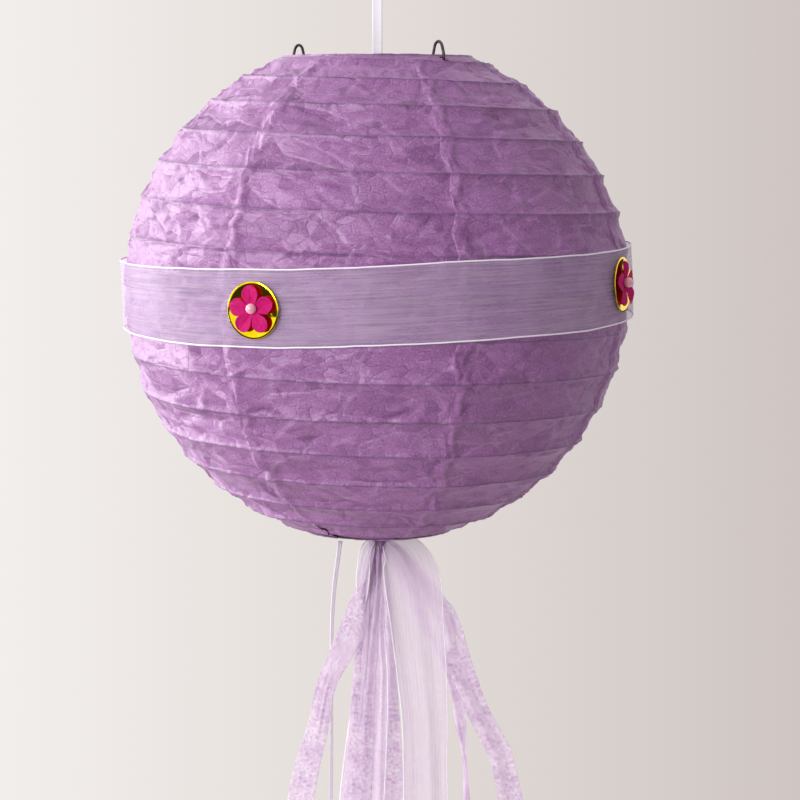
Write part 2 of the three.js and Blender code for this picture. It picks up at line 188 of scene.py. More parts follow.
def run_lengths(points):
    """The distance along points to each of them."""
    steps = np.linalg.norm(np.diff(np.asarray(points)[:, :3], axis=0), axis=1)
    return np.concatenate([[0], np.cumsum(steps)])


def path_length(points):
    return float(run_lengths(points)[-1])


def smooth_path(points, steps):
    """Catmull-Rom through points, evenly stepped by the length of their first three columns."""
    p = np.asarray(points, float)
    p = np.concatenate([[2 * p[0] - p[1]], p, [2 * p[-1] - p[-2]]])
    fine = []
    for i in range(1, len(p) - 2):
        t = np.linspace(0, 1, 24, endpoint=False)[:, None]
        a, b, c, d = p[i - 1], p[i], p[i + 1], p[i + 2]
        fine.append(0.5 * (2 * b + (c - a) * t + (2 * a - 5 * b + 4 * c - d) * t ** 2
                           + (3 * b - a - 3 * c + d) * t ** 3))
    fine = np.concatenate(fine + [p[-2:-1]])
    length = run_lengths(fine)
    even = np.linspace(0, length[-1], steps + 1)
    return np.stack([np.interp(even, length, fine[:, k]) for k in range(fine.shape[1])], axis=1)


def round_angles(steps):
    return np.linspace(0, 2 * math.pi, steps, endpoint=False)


def transport_frames(path, first=(1, 0, 0)):
    """Unit side vectors that turn no more than the path does."""
    tangent = np.gradient(path, axis=0)
    tangent /= np.linalg.norm(tangent, axis=1, keepdims=True)
    side = np.array(first, float)
    sides = []
    for t in tangent:
        side = side - t * (side @ t)
        side = side / np.linalg.norm(side)
        sides.append(side)
    return tangent, np.array(sides)


def ring_faces(rings, sides, closed=False):
    """Quads between rings of vertices in a row. It ends in flat caps unless it is closed."""
    index = np.arange(rings * sides).reshape(rings, sides)
    before, after = index[:-1], index[1:]
    if closed:
        before, after = index, np.roll(index, -1, axis=0)
    quads = np.stack([before, np.roll(before, -1, 1), np.roll(after, -1, 1), after], axis=-1)
    faces = [list(q) for q in quads.reshape(-1, 4)]
    return faces if closed else faces + [list(index[0][::-1]), list(index[-1])]


def tube(name, path, half_width, half_height, sides=10, first=(1, 0, 0), closed=False):
    """A closed solid of rounded section along path. Its width starts about along first."""
    path = np.asarray(path, float)
    tangent, side = transport_frames(path, first)
    up = np.cross(tangent, side)
    angle = round_angles(sides)[None, :]
    half_width = np.broadcast_to(np.asarray(half_width, float), len(path))
    rings = (path[:, None] + side[:, None] * (half_width[:, None] * np.cos(angle))[..., None]
             + up[:, None] * (half_height * np.sin(angle))[..., None])
    uv = np.stack(np.broadcast_arrays(angle * half_width.max(), run_lengths(path)[:, None]), -1)
    faces = ring_faces(len(path), sides, closed)
    return make_object(name, rings.reshape(-1, 3), faces, uv.reshape(-1, 2))


def wrap(name, centre, axis, reach, lift, half_width, half_height, steps=40, sides=10):
    """A loop tied round a wire: reach is its half size sideways and up, lift how far up it sits."""
    side = axis.cross(Vector((0, 0, 1))).normalized()
    up = side.cross(axis)
    ring = [tuple(centre + side * (reach[0] * math.cos(a)) + up * (reach[1] * math.sin(a) + lift))
            for a in round_angles(steps)]
    return tube(name, ring, half_width, half_height, sides, tuple(axis), closed=True)


def strip_points(path, angle, sideways, outward):
    """A flat strip's grid along path. Its width points angle radians about Z, and each of its
    points lies sideways and outward from the path."""
    tangent = np.gradient(path, axis=0)
    tangent /= np.linalg.norm(tangent, axis=1, keepdims=True)
    across = np.stack([np.cos(angle), np.sin(angle), np.zeros(len(path))], axis=1)
    across -= tangent * (across * tangent).sum(axis=1, keepdims=True)
    across /= np.linalg.norm(across, axis=1, keepdims=True)
    normal = np.cross(tangent, across)
    return (path[:, None] + across[:, None] * sideways[..., None]
            + normal[:, None] * outward[..., None])


def flat_uv(across, along):
    return np.stack(np.broadcast_arrays(across, along), -1)


def around(azimuth, reach, height):
    """Points at radians of azimuth from the front, positive to the right, reach from the axis."""
    parts = np.broadcast_arrays(reach * np.sin(azimuth), -reach * np.cos(azimuth), height)
    return np.stack(parts, -1)


# ---- seeded noise ----
def lattice(cell, seed):
    n = cell[..., 0] * 374761393 + cell[..., 1] * 668265263 + cell[..., 2] * 1440662683
    n = (n + seed * 982451653) & 0xFFFFFFFF
    n = ((n ^ (n >> 13)) * 1274126177) & 0xFFFFFFFF
    return ((n ^ (n >> 16)) & 0xFFFF) / 32767.5 - 1


def soft_noise(place, seed):
    """Smooth noise, -1 to 1, at (..., 3) places given in cells."""
    cell = np.floor(place).astype(np.int64)
    part = place - cell
    part = part * part * (3 - 2 * part)
    total = 0.0
    for corner in np.ndindex(2, 2, 2):
        side = np.array(corner)
        weight = np.where(side == 1, part, 1 - part).prod(axis=-1)
        total = total + weight * lattice(cell + side, seed)
    return total


def fold_noise(place, seed):
    """Flat facets that meet in straight creases, -1 to 1."""
    cell = np.floor(place).astype(np.int64)
    part = place - cell
    order = np.argsort(-part, axis=-1)
    value = lattice(cell, seed)
    total = value
    for step in range(3):
        axis = order[..., step:step + 1]
        cell = cell.copy()
        np.put_along_axis(cell, axis, np.take_along_axis(cell, axis, -1) + 1, -1)
        after = lattice(cell, seed)
        total = total + np.take_along_axis(part, axis, -1)[..., 0] * (after - value)
        value = after
    return total


TURNED = np.array([[0.80, 0.36, -0.48], [-0.60, 0.48, -0.64], [0.0, 0.80, 0.60]])


def crumple(place, seed):
    """Creased facets about one cell across, on bent and turned axes."""
    bend = [soft_noise(place / 1.4, seed + k) for k in (1, 2, 3)]
    return fold_noise((place + 0.6 * np.stack(bend, -1)) @ TURNED, seed + 4)


def flat_place(x, y, seed=0):
    """Flat coordinates as a slice of the noise's space."""
    return np.stack(np.broadcast_arrays(x, y, seed * 7.3 + 0.5), -1)


# ---- material helpers ----
class Nodes:
    """Short calls for the node tree of a material or a world."""

    def __init__(self, owner, output="ShaderNodeOutputMaterial"):
        self.owner = owner
        owner.use_nodes = True
        self.tree = owner.node_tree
        self.tree.nodes.clear()
        self.output = self.add(output)

    def add(self, kind, inputs=None, **settings):
        node = self.tree.nodes.new(kind)
        for key, value in settings.items():
            setattr(node, key, value)
        for key, value in (inputs or {}).items():
            self.set(node.inputs[key], value)
        return node

    def set(self, socket, value):
        if isinstance(value, bpy.types.NodeSocket):
            self.tree.links.new(value, socket)
        else:
            socket.default_value = value

    def coordinates(self, which="UV", scale=(1, 1, 1)):
        source = self.add("ShaderNodeTexCoord").outputs[which]
        return self.add("ShaderNodeMapping", {"Vector": source, "Scale": scale}).outputs["Vector"]

    def noise(self, vector, scale, detail=4, roughness=0.55, distortion=0.0):
        node = self.add("ShaderNodeTexNoise", {
            "Vector": vector, "Scale": scale, "Detail": detail,
            "Roughness": roughness, "Distortion": distortion})
        return node.outputs["Fac"]

    def ramp(self, value, stops):
        node = self.add("ShaderNodeValToRGB", {"Fac": value})
        elements = node.color_ramp.elements
        while len(elements) < len(stops):
            elements.new(0.5)
        for element, (place, colour) in zip(elements, stops):
            element.position = place
            element.color = colour
        return node.outputs["Color"]

    def math(self, operation, a, b=0.0, clamp=False):
        node = self.add("ShaderNodeMath", operation=operation, use_clamp=clamp)
        self.set(node.inputs[0], a)
        self.set(node.inputs[1], b)
        return node.outputs[0]

    def total(self, *parts):
        """The sum of values, each times its weight."""
        result = None
        for value, weight in parts:
            part = self.math("MULTIPLY", value, weight)
            result = part if result is None else self.math("ADD", result, part)
        return result

    def mix(self, factor, a, b):
        return self.add("ShaderNodeMix", {"Factor": factor, "A": a, "B": b},
                        data_type="RGBA").outputs["Result"]

    def span(self, value, low, high, to_low, to_high):
        node = self.add("ShaderNodeMapRange", {
            "Value": value, "From Min": low, "From Max": high,
            "To Min": to_low, "To Max": to_high})
        return node.outputs["Result"]

    def bump(self, height, distance, strength=1.0):
        return self.add("ShaderNodeBump", {
            "Height": height, "Distance": distance, "Strength": strength}).outputs["Normal"]

    def facets(self, scale, squeeze, bent):
        """Creased facets: the height in millimetres of flat leaning facets, and their fold lines,
        which are 1 on a fold and 0 off it."""
        place = self.coordinates(scale=(squeeze, 1, 1))
        bend = self.add("ShaderNodeTexNoise", {
            "Vector": place, "Scale": scale * 0.7, "Detail": 2}).outputs["Color"]
        bend = self.vector("SCALE", self.vector("SUBTRACT", bend, (0.5, 0.5, 0.5)), bent / scale)
        place = self.vector("ADD", place, bend)
        inputs = {"Vector": place, "Scale": scale}
        cell = self.add("ShaderNodeTexVoronoi", inputs, voronoi_dimensions="2D").outputs
        lean = self.vector("SUBTRACT", cell["Color"], (0.5, 0.5, 0.5))
        reach = self.vector("SUBTRACT", place, cell["Position"])
        height = self.math("MULTIPLY", self.vector("DOT_PRODUCT", lean, reach), 1 / MM)
        border = self.add("ShaderNodeTexVoronoi", inputs, voronoi_dimensions="2D",
                          feature="DISTANCE_TO_EDGE").outputs["Distance"]
        return height, self.span(border, 0.0, 0.09, 1.0, 0.0)

    def vector(self, operation, a, b):
        node = self.add("ShaderNodeVectorMath", operation=operation)
        self.set(node.inputs[0], a)
        self.set(node.inputs["Scale"] if operation == "SCALE" else node.inputs[1], b)
        return node.outputs["Value" if operation == "DOT_PRODUCT" else "Vector"]

    def principled(self, **inputs):
        node = self.add("ShaderNodeBsdfPrincipled")
        for key, value in inputs.items():
            self.set(node.inputs[key.replace("_", " ")], value)
        return node.outputs["BSDF"]

    def blend(self, factor, a, b):
        node = self.add("ShaderNodeMixShader")
        for socket, value in zip(node.inputs, (factor, a, b)):
            self.set(socket, value)
        return node.outputs[0]

    def finish(self, shader):
        self.set(self.output.inputs["Surface"], shader)
        return self.owner

    def finish_cloth(self, alpha, through, body, colour, **relief):
        """Thin cloth: alpha covers what is behind it, through is how much shines from behind."""
        glow = self.add("ShaderNodeBsdfTranslucent", {"Color": colour, **relief}).outputs[0]
        cloth = self.blend(through, body, glow)
        if alpha is not None:
            clear = self.add("ShaderNodeBsdfTransparent").outputs[0]
            cloth = self.blend(alpha, clear, cloth)
        return self.finish(cloth)


def new_nodes(name):
    return Nodes(bpy.data.materials.new(name))


def rgb(red, green, blue):
    """A colour given as it looks on a screen, 0 to 255, as the linear values that shaders take."""
    def linear(value):
        value /= 255
        return value / 12.92 if value <= 0.04045 else ((value + 0.055) / 1.055) ** 2.4
    return (linear(red), linear(green), linear(blue), 1)


def paper_material():
    m = new_nodes("creased_paper")
    place = m.coordinates()
    cloud = m.noise(place, 30, 5, 0.62)
    speck = m.noise(place, 850, 3, 0.7)
    blotch = m.noise(place, 190, 4, 0.65)
    colour = m.ramp(cloud, [(0.32, rgb(143, 78, 148)), (0.68, rgb(164, 99, 168))])
    grain = m.ramp(speck, [(0.30, rgb(98, 42, 106)), (0.52, rgb(157, 94, 161)),
                           (0.72, rgb(212, 170, 215))])
    colour = m.mix(0.55, colour, grain)
    colour = m.mix(m.span(blotch, 0.35, 0.65, 0.0, 0.3), colour, rgb(128, 74, 136))
    # Painted shade: a thin dark line along each turn of the rib, broken up by the cloud. It is
    # partly the glued rib seen through the paper and partly painted shade under the rib's ridge.
    from_rib = m.math("PINGPONG", m.add("ShaderNodeSeparateXYZ", {"Vector": place}).outputs["Y"],
                      RIB_PITCH * DEGREE / 2)
    marks = m.math("MULTIPLY", m.span(from_rib, 0.25 * MM, 1.0 * MM, 0.62, 0.0),
                   m.span(cloud, 0.3, 0.6, 0.5, 1.0))
    colour = m.mix(marks, colour, rgb(84, 44, 96))
    wide, wide_fold = m.facets(62, 0.5, 0.4)
    close, close_fold = m.facets(170, 0.65, 0.8)
    # Painted highlight: the paper is lighter along patches of the wide folds, as if they catch the
    # light. The same folds also go into the bump.
    fold_patches = m.span(m.noise(place, 38, 2), 0.42, 0.58, 0.1, 1.0)
    wide_fold = m.math("MULTIPLY", wide_fold, fold_patches)
    colour = m.mix(m.math("MULTIPLY", wide_fold, 0.18), colour, rgb(222, 186, 226))
    height = m.total((wide, 0.58), (close, 0.48), (wide_fold, 0.42), (close_fold, 0.13),
                     (speck, 0.2), (blotch, 0.3))
    normal = m.bump(height, MM)
    body = m.principled(Base_Color=colour, Roughness=m.span(speck, 0.3, 0.7, 0.46, 0.6),
                        Specular_IOR_Level=1.0, Coat_Weight=0.6, Coat_Roughness=0.55,
                        Coat_IOR=1.6, Normal=normal, Coat_Normal=normal)
    return m.finish_cloth(None, 0.14, body, colour, Normal=normal)


def sheer_material(name, tint, cover, along):
    """Organza: fine threads that leave most of what is behind it showing."""
    m = new_nodes(name)
    scale = (0.02, 1, 1) if along else (1, 0.02, 1)
    thread = m.noise(m.coordinates(scale=scale), 3200, 2, 0.6)
    streak = m.noise(m.coordinates(scale=scale), 900, 4, 0.6)
    cloud = m.noise(m.coordinates(), 45, 3)
    weave = m.total((thread, 0.5), (streak, 0.5))
    alpha = m.math("ADD", m.span(weave, 0.35, 0.65, cover - 0.07, cover + 0.07),
                   m.span(cloud, 0.35, 0.65, -0.04, 0.04), clamp=True)
    colour = m.ramp(streak, [(0.35, tint), (0.65, rgb(242, 235, 244))])
    normal = m.bump(weave, 0.12 * MM, 0.8)
    body = m.principled(Base_Color=colour, Roughness=0.42, Sheen_Weight=0.5,
                        Sheen_Roughness=0.35, Normal=normal)
    return m.finish_cloth(alpha, 0.55, body, colour)


def tissue_material():
    m = new_nodes("mulberry_tissue")
    place = m.coordinates()
    cloud = m.noise(place, 70, 5, 0.62)
    blotch = m.noise(place, 210, 4, 0.7, 0.6)
    strand = m.noise(m.coordinates(scale=(0.25, 1, 1)), 1100, 3, 0.7, 2.0)
    mottle = m.noise(place, 540, 4, 0.72)
    dense = m.total((cloud, 0.25), (blotch, 0.2), (mottle, 0.55))
    colour = m.ramp(dense, [(0.40, rgb(246, 239, 246)), (0.60, rgb(215, 192, 219))])
    colour = m.mix(m.span(strand, 0.55, 0.7, 0.0, 0.35), colour, rgb(251, 245, 252))
    alpha = m.span(dense, 0.40, 0.60, 0.56, 0.86)
    normal = m.bump(m.math("ADD", blotch, strand), 0.15 * MM, 0.7)
    body = m.principled(Base_Color=colour, Roughness=0.75, Sheen_Weight=0.2, Normal=normal)
    return m.finish_cloth(alpha, 0.5, body, colour)


def twisted_tissue_material():
    m = new_nodes("twisted_tissue")
    place = m.coordinates(scale=(1, 0.3, 1))
    cloud = m.noise(place, 500, 4, 0.6)
    colour = m.ramp(cloud, [(0.35, rgb(166, 104, 176)), (0.65, rgb(222, 186, 230))])
    normal = m.bump(cloud, 0.3 * MM, 0.9)
    return m.finish(m.principled(Base_Color=colour, Roughness=0.75, Normal=normal))


def ribbon_material(name, tint, scale):
    m = new_nodes(name)
    thread = m.noise(m.coordinates(scale=(1, 0.04, 1)), scale, 2, 0.6)
    rib = m.add("ShaderNodeTexWave", {
        "Vector": m.coordinates(), "Scale": scale / 6, "Distortion": 0.4},
        wave_type="BANDS", bands_direction="Y").outputs["Fac"]
    height = m.total((thread, 0.6), (rib, 0.4))
    colour = m.ramp(height, [(0.3, tint), (0.7, rgb(254, 253, 255))])
    normal = m.bump(height, 0.1 * MM, 0.8)
    return m.finish(m.principled(Base_Color=colour, Roughness=0.45, Sheen_Weight=0.4,
                                 Sheen_Roughness=0.3, Normal=normal))


def cord_material():
    m = new_nodes("corded_edge")
    twist = m.add("ShaderNodeTexWave", {
        "Vector": m.coordinates(), "Scale": 420, "Distortion": 0.3},
        wave_type="BANDS", bands_direction="DIAGONAL").outputs["Fac"]
    colour = m.ramp(twist, [(0.1, rgb(232, 228, 240)), (0.8, rgb(252, 251, 253))])
    normal = m.bump(twist, 0.15 * MM, 0.7)
    return m.finish(m.principled(Base_Color=colour, Roughness=0.5, Sheen_Weight=0.3,
                                 Normal=normal))


def wire_material():
    m = new_nodes("drawn_wire")
    place = m.coordinates("Object")
    marks = m.noise(place, 180, 5, 0.65)
    scratch = m.noise(m.coordinates("Object", (1, 1, 0.05)), 2400, 2)
    colour = m.ramp(marks, [(0.35, rgb(58, 46, 58)), (0.68, rgb(104, 90, 98))])
    normal = m.bump(scratch, 0.05 * MM, 0.6)
    return m.finish(m.principled(Base_Color=colour, Metallic=1.0,
                                 Roughness=m.span(marks, 0.3, 0.7, 0.28, 0.5), Normal=normal))


def rib_material():
    m = new_nodes("split_bamboo")
    grain = m.noise(m.coordinates("Object", (1, 1, 6)), 260, 4, 0.6)
    colour = m.ramp(grain, [(0.3, rgb(176, 146, 112)), (0.7, rgb(218, 196, 160))])
    return m.finish(m.principled(Base_Color=colour, Roughness=0.7,
                                 Normal=m.bump(grain, 0.2 * MM, 0.6)))


def gold_material():
    m = new_nodes("gold_mirror")
    place = m.coordinates("Object")
    haze = m.noise(place, 160, 4)
    dent = m.noise(place, 90, 2)
    colour = m.ramp(haze, [(0.35, rgb(246, 214, 6)), (0.7, rgb(255, 236, 40))])
    return m.finish(m.principled(Base_Color=colour, Metallic=1.0,
                                 Roughness=0.0, Normal=m.bump(dent, 0.3 * MM, 0.25)))


def petal_material():
    m = new_nodes("magenta_mulberry")
    place = m.coordinates("Object")
    cloud = m.noise(place, 420, 5, 0.65)
    fibre = m.noise(place, 2400, 3, 0.7, 1.5)
    colour = m.ramp(cloud, [(0.3, rgb(176, 0, 92)), (0.72, rgb(212, 14, 118))])
    colour = m.mix(m.span(fibre, 0.62, 0.74, 0.0, 0.25), colour, rgb(236, 70, 150))
    normal = m.bump(m.math("ADD", cloud, fibre), 0.2 * MM, 0.8)
    body = m.principled(Base_Color=colour, Roughness=0.68, Specular_IOR_Level=0.2,
                        Normal=normal)
    return m.finish_cloth(None, 0.12, body, colour)


def pearl_material():
    m = new_nodes("pink_pearl")
    cloud = m.noise(m.coordinates("Object"), 700, 3)
    # Painted sheen: the pearl is lighter towards its outline as the camera sees it.
    facing = m.add("ShaderNodeLayerWeight", {"Blend": 0.45}).outputs["Facing"]
    rim = m.mix(facing, rgb(226, 154, 168), rgb(242, 208, 218))
    colour = m.mix(m.span(cloud, 0.4, 0.7, 0.0, 0.3), rim, rgb(214, 132, 150))
    return m.finish(m.principled(Base_Color=colour, Roughness=0.22, Coat_Weight=0.8,
                                 Coat_Roughness=0.06, Specular_IOR_Level=0.7))


PAPER = paper_material()
BAND_SHEER = sheer_material("organza_band", rgb(218, 202, 230), 0.31, along=True)
STREAMER_SHEER = sheer_material("organza_streamer", rgb(234, 222, 235), 0.45, along=False)
TISSUE = tissue_material()
TWISTED = twisted_tissue_material()
RIBBON = ribbon_material("satin_ribbon", rgb(243, 240, 247), 2600)
CORD = cord_material()
WIRE = wire_material()
RIB = rib_material()
GOLD = gold_material()
PETAL = petal_material()
PEARL = pearl_material()


def dress(thing, material, slot, body, *nodes):
    """Gives a finished piece its material and body and hides the CAD nodes it stands for. slot is
    not used.
    """
    thing.data.materials.clear()
    thing.data.materials.append(material)
    if nodes:
        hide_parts(*nodes)
    if body:
        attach(thing, body)


# ---- cords: the hanging ribbon and the thin ribbon ----
def knot_path(centre, size, squash):
    """An overhand knot's closed run, about size across."""
    t = round_angles(72)
    x = np.sin(t) + 2 * np.sin(2 * t)
    y = -np.sin(3 * t)
    z = np.cos(t) - 2 * np.cos(2 * t)
    return np.stack([x, y * 1.1, z * squash], axis=1) * size / 6 + np.array(centre)


def add_ribbon_knot(name, node, size, squash, half_width, half_height, body):
    low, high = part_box(node)
    path = knot_path((low + high) / 2, size * MM, squash)
    knot = tube(name, path, half_width * MM, half_height * MM, closed=True)
    dress(knot, RIBBON, "ribbon", body, node)
    return knot


def ribbon_strip(name, path, width, thickness, angle, columns, camber):
    """A flat ribbon along path. angle is its width's way at each point, in radians about Z."""
    u = np.linspace(-1, 1, columns)[None]
    grid = strip_points(path, angle, u * width / 2, camber * (u ** 2 - 0.4))
    return thick_sheet(name, grid, thickness, flat_uv(u * width / 2, run_lengths(path)[:, None]))


def add_hanging_ribbon():
    low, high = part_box("hanging_ribbon")
    top, end = (0, 0, high.z), (0, 0, low.z)
    fine = np.linspace(top, end, 61)
    ribbon = ribbon_strip("ribbon_run", fine, RIBBON_WIDTH, 0.4 * MM, np.zeros(61), 9, 0.25 * MM)
    dress(ribbon, RIBBON, "ribbon", None, "hanging_ribbon")
    knot = add_ribbon_knot("ribbon_knot", "loop_knot", 5.6, 0.85, 1.1, 0.75, "hanger")

    loop_low, loop_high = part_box("hanging_loop")
    half = loop_high.y - 0.4 * MM
    crown = loop_high.z - 0.4 * MM
    drop = crown - loop_low.z
    outline = [(0.3 * MM, -drop), (0.42 * half, -0.72 * drop), (0.9 * half, -0.42 * drop),
               (half, -0.25 * drop), (0.72 * half, -0.07 * drop), (0, 0)]
    outline += [(-y, z) for y, z in outline[-2::-1]]
    turn = smooth_path([(0, y, crown + z) for y, z in outline], 90)
    loop = ribbon_strip("ribbon_loop", turn, RIBBON_WIDTH, 0.4 * MM, np.zeros(91), 9, 0)
    dress(loop, RIBBON, "ribbon", "hanger", "hanging_loop")

    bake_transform(ribbon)


# The thin ribbon's route from the bottom bar down, in millimetres from the lantern's centre.
THIN_RIBBON = [
    (-23.2, 4.1, -155.2), (-24.6, 3.4, -166), (-26.2, 2.4, -178), (-27.4, 1.2, -190),
    (-28.2, 0, -204), (-28.6, -1, -220), (-28.8, -1.6, -240), (-28.8, -2, -262),
    (-28.9, -2, -286), (-29.2, -1.6, -312), (-29.8, -0.8, -340), (-30.6, 0.2, -370),
    (-31.2, 1.4, -400), (-31.4, 2.6, -430), (-31, 3.6, -460), (-30.2, 4.2, -490),
]


def add_thin_ribbon():
    route = [(x * MM, y * MM, CENTRE_Z + z * MM) for x, y, z in THIN_RIBBON]
    path = smooth_path(route, 160)
    angle = 0.5 + 0.5 * np.sin(np.linspace(0, 5.0, len(path)))
    ribbon = ribbon_strip("thin_run", path, THIN_WIDTH, 0.25 * MM, angle, 5, 0.2 * MM)
    dress(ribbon, RIBBON, "ribbon", "tail", "thin_ribbon")
    low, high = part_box("thin_ribbon_tie")
    tie = wrap("thin_tie", (low + high) / 2, BAR_AXIS, (1.75 * MM, 1.9 * MM), -0.3 * MM,
               1.4 * MM, 0.35 * MM)
    dress(tie, RIBBON, "ribbon", "tail", "thin_ribbon_tie")


add_hanging_ribbon()
add_thin_ribbon()


# ---- paper gores ----
def rib_latitude(azimuth):
    """Latitude of the first turn at this azimuth from the front; others lie whole pitches off."""
    return RIB_PHASE - RIB_PITCH * (azimuth + 90) / 360


def ball(radius, latitude):
    """The ball's outline at a latitude in degrees: distance from axis, height over centre."""
    angle = np.radians(latitude)
    stretch = np.where(latitude < 0, LOWER_STRETCH, 1.0)
    return BULGE * radius * np.cos(angle), stretch * radius * np.sin(angle)


TOP_EDGE = math.degrees(math.atan2(RING_HEIGHT, RING_RADIUS / BULGE)) - 0.15
BOTTOM_EDGE = 0.15 - math.degrees(math.acos(BOTTOM_RADIUS / BULGE / RADIUS))
ROWS_PER_TURN = 21
GORE_COLUMNS = 124
LAP = 1.1                    # degrees that each gore laps over the next
RIM_ROWS = 9                 # rows that are rolled over each ring
LOOSE_AZIMUTH = -50          # where the lower rim hangs a little off its ring
LOOSE_RISE = 4.5 * MM


def gore_rows(azimuth):
    """Latitudes of the rows at a gore's middle: one on each turn of the rib, closer ones by it."""
    turns = rib_latitude(azimuth) - RIB_PITCH * np.arange(-2, 17)
    inner = [t for t in turns if BOTTOM_EDGE + 1.2 < t < TOP_EDGE - 1.2]
    breaks = [TOP_EDGE] + inner + [BOTTOM_EDGE]
    rows = []
    for upper, lower in zip(breaks[:-1], breaks[1:]):
        count = max(4, round((upper - lower) / RIB_PITCH * ROWS_PER_TURN))
        share = np.arange(count) / count
        share = share - 0.08 * np.sin(2 * math.pi * share)
        rows.extend(upper + (lower - upper) * share)
    return np.array(rows + [breaks[-1]])


def fold_list():
    """The paper's fold lines. Each row: azimuth, latitude and tilt in degrees, then half length,
    width on the upper side, width on the lower side and height in millimetres."""
    rng = np.random.default_rng(61)
    folds = []

    def scatter(count, tilt, length, width, height, sharp):
        level = np.degrees(np.arcsin(rng.uniform(-0.95, 0.95, count)))
        wide = rng.uniform(*width, count)
        thin = wide * rng.uniform(*sharp, count)
        flip = rng.random(count) < 0.5
        rise = rng.uniform(*height, count) * rng.choice((-1, 1), count)
        folds.append(np.stack([
            rng.uniform(0, 360, count), level, rng.normal(0, tilt, count),
            rng.uniform(*length, count) / 2, np.where(flip, wide, thin),
            np.where(flip, thin, wide), rise], 1))

    scatter(560, 9, (34, 90), (4, 8), (0.45, 1.15), (0.25, 0.7))
    scatter(1500, 22, (14, 34), (2.6, 4.6), (0.45, 1.0), (0.35, 0.8))
    scatter(1300, 60, (8, 20), (2.2, 3.6), (0.3, 0.65), (0.4, 0.9))
    scatter(3600, 70, (4, 10), (1.6, 2.4), (0.1, 0.28), (0.6, 1.0))

    def by_rib(azimuth, level, tilt, half, width, rise):
        folds.append(np.array([[azimuth, level, tilt, half, width, width * 0.5, rise]]))

    for turn in range(-2, 17):
        for _ in range(76):          # small creases across the rib
            azimuth = rng.uniform(-90, 270)
            level = rib_latitude(azimuth) - RIB_PITCH * turn + rng.normal(0, 0.9)
            if abs(level) < 70:
                by_rib(azimuth, level, 90 + rng.normal(0, 24), rng.uniform(2.5, 6),
                       rng.uniform(1.5, 2.8), rng.choice((-1, 1)) * rng.uniform(0.25, 0.7))
        for seam in range(GORES):
            azimuth = SEAM_AZIMUTH + seam * 360 / GORES
            level = rib_latitude(azimuth) - RIB_PITCH * turn
            if abs(level) > 72:
                continue
            spread = 1 / math.cos(math.radians(level))
            for _ in range(7):       # crumpled glue at the crossing of seam and rib
                way = rng.uniform(0, 360)
                half = rng.uniform(4, 11)
                reach = math.degrees(half * MM / RADIUS)
                by_rib(azimuth + reach * math.cos(math.radians(way)) * spread,
                       level + reach * math.sin(math.radians(way)), way, half,
                       rng.uniform(2, 3.6), rng.choice((-1, 1)) * rng.uniform(0.5, 1.2))
            lean = rng.uniform(14, 34)
            for part, way in ((2.3, 90 - lean), (6.7, 90 + lean)):
                by_rib(azimuth + 1.1 * spread, level - part, way, 8.5, rng.uniform(5, 8), 1.5)
    folds = np.concatenate(folds)
    folds[:, 0] = (folds[:, 0] + 180) % 360 - 180
    return folds


FOLDS = fold_list()


def creases(azimuth, rows, direction):
    """Height in millimetres of the fold lines that cross a gore's grid."""
    relief = np.zeros(direction.shape[:2])
    middle = (azimuth[0] + azimuth[-1]) / 2
    step = azimuth[1] - azimuth[0]
    for place, level, tilt, half, above, below, rise in FOLDS:
        reach = math.degrees(max(half, above, below) * MM / RADIUS) + 0.3
        place = (place - middle + 180) % 360 - 180 + middle
        spread = reach / max(0.2, math.cos(math.radians(min(abs(level) + reach, 80))))
        first = int((place - spread - azimuth[0]) / step)
        last = int((place + spread - azimuth[0]) / step) + 2
        top = np.searchsorted(-rows, -(level + reach + 1.0))
        low = np.searchsorted(-rows, -(level - reach - 1.0))
        first, last = max(first, 0), min(last, len(azimuth))
        if first >= last or top >= low:
            continue
        window = np.s_[top:low, first:last]
        a, b, c = math.radians(place), math.radians(level), math.radians(tilt)
        out = around(a, math.cos(b), math.sin(b))
        east = np.array([math.cos(a), math.sin(a), 0])
        along = east * math.cos(c) + np.cross(out, east) * math.sin(c)
        across = np.cross(out, along)
        off = (direction[window] - out) * RADIUS / MM
        near, side = np.abs(off @ along), off @ across
        flank = 1 - np.where(side > 0, side / above, -side / below)
        end = np.minimum(1.6 * (1 - near / half), 1)
        relief[window] += rise * np.clip(flank, 0, 1) * np.clip(end, 0, 1)
    return relief


def rolled_rim(ring, height, side, edge, drift):
    """The paper's edge rolled over a ring, from inside it to outside, in (across, height)."""
    angle = np.radians(np.linspace(236, abs(edge) + 3, RIM_ROWS))[:, None]
    reach = RING_WIRE + 0.38 * MM + 0.22 * MM * drift[None, :]
    return ring + reach * np.cos(angle), side * (height + reach * np.sin(angle))


def off_edges(latitude, width):
    """0 at the paper's two rims, and 1 from width degrees inside them."""
    return np.clip(np.minimum(TOP_EDGE - latitude, latitude - BOTTOM_EDGE) / width, 0, 1)


def paper_offset(azimuth, rows, latitude, over_rib, direction):
    """How far the paper lies off the ball in millimetres. It sags between the rib's turns, hugs
    them and is creased. One side of a gore laps over its neighbour, and the band holds it in."""
    phase = over_rib / RIB_PITCH % 1
    taut = 4 * phase * (1 - phase)
    from_rib = np.minimum(phase, 1 - phase) * RIB_PITCH * DEGREE / MM
    loose = soft_noise(direction * RADIUS / MM / 34, 7)
    sag = (0.8 + 0.5 * loose) * taut - 0.55 * np.exp(-(from_rib / 0.95) ** 2)
    sag = sag + 1.1 * (1 - np.exp(-from_rib / 2.6)) + 0.2
    relief = creases(azimuth, rows, direction) * (0.35 + 0.65 * np.sqrt(taut))
    off_band = np.clip((np.abs(latitude) * DEGREE / MM - 30) / 4, 0, 1)
    offset = (relief - sag + 0.55) * off_edges(latitude, 4)
    return np.clip(offset, -3.2, 0.45 + 0.9 * off_band) + np.linspace(0.12, 0, GORE_COLUMNS) + 0.1


